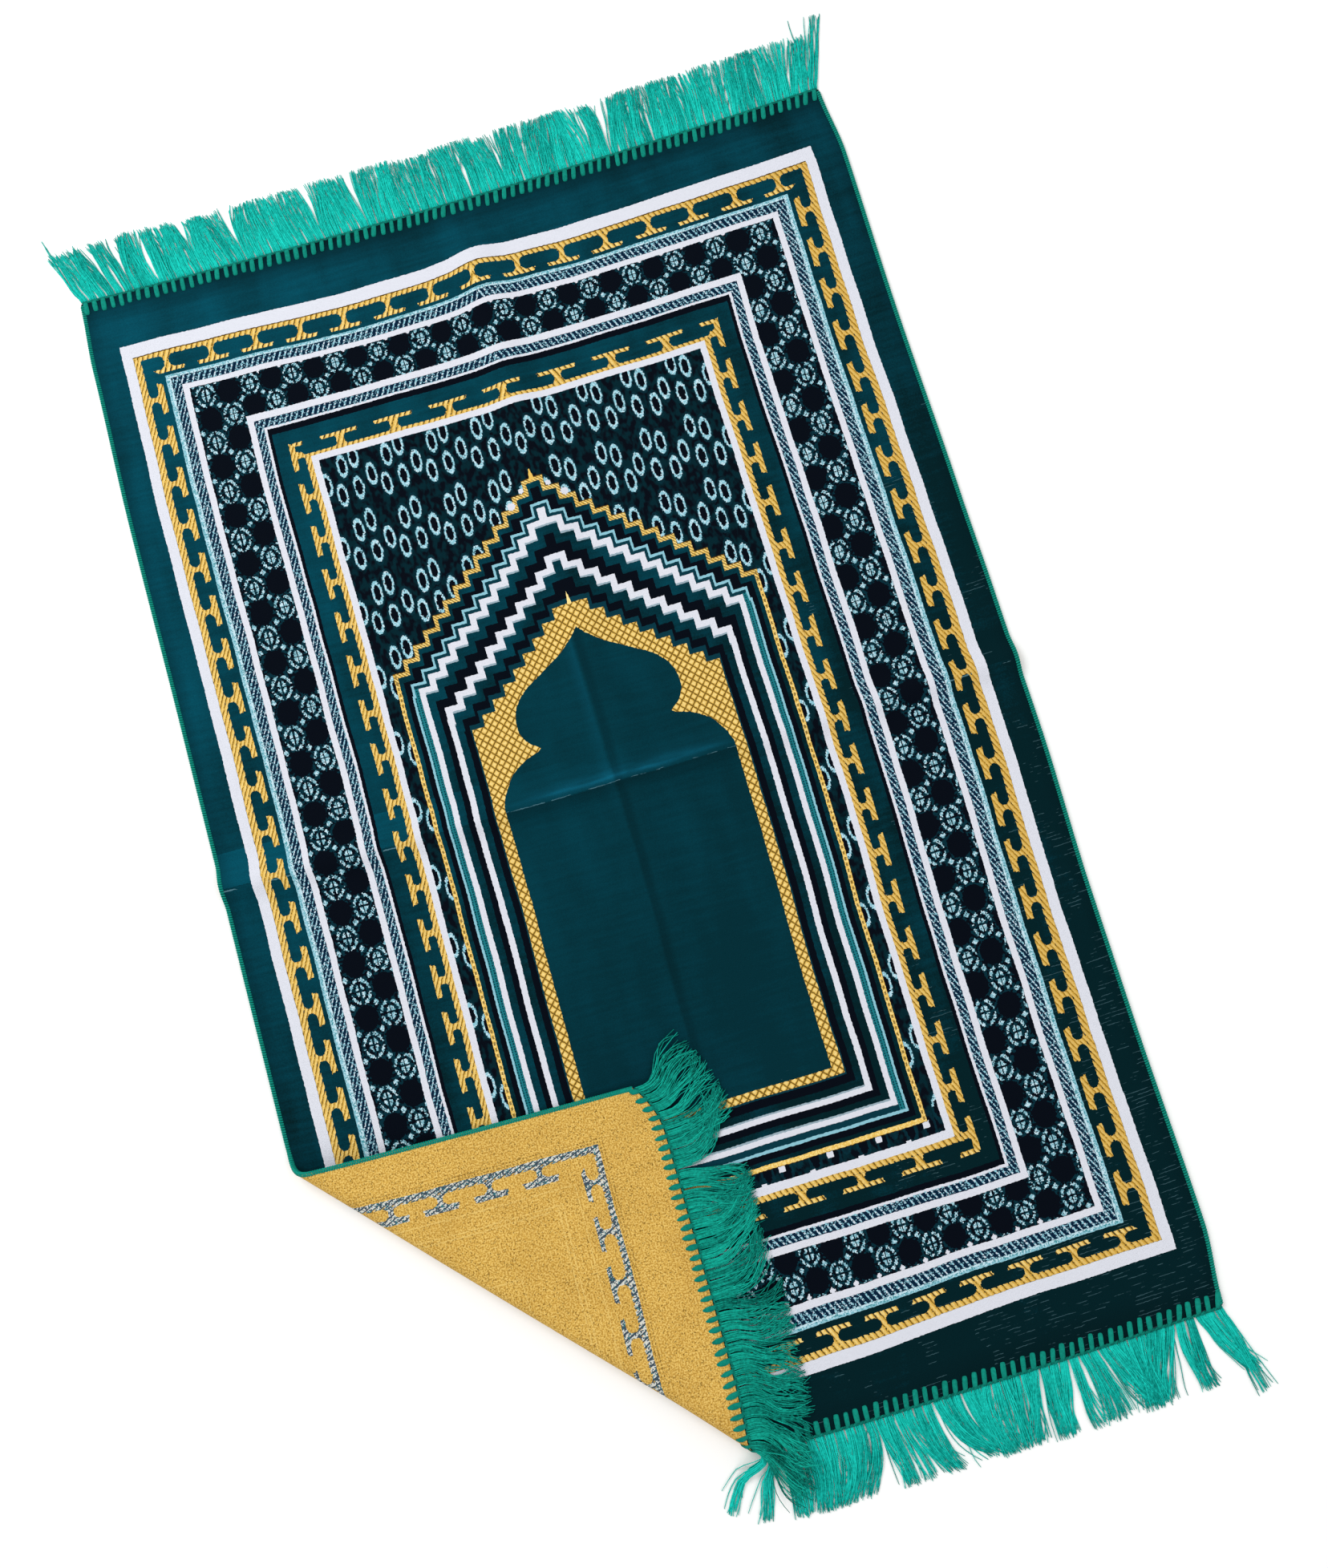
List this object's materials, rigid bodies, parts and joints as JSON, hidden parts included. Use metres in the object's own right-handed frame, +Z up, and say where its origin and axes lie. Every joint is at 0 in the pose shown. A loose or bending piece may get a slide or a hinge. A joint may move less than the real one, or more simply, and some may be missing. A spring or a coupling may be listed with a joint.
{
  "type": "prayer rug",
  "caption": "Woven velvet prayer rug with a niche pattern and a fringe at each end, laid flat with one corner turned over to show its back.",
  "frame": {"origin": "middle of the rug on the floor it lies on", "axes": "+Y along the rug towards the niche's point, +X across it, +Z up from the floor"},
  "size_m": [0.719, 1.2104, 0.022],
  "materials": {
    "cloth": "short cut velvet pile with woven figures, plain woven gold back",
    "fringe": "soft twisted yarn"
  },
  "bodies": {
    "root": {"cloth": "cloth", "fringe_top": "fringe", "fringe_bottom": "fringe", "fringe_flap": "fringe"}
  },
  "joints": []
}
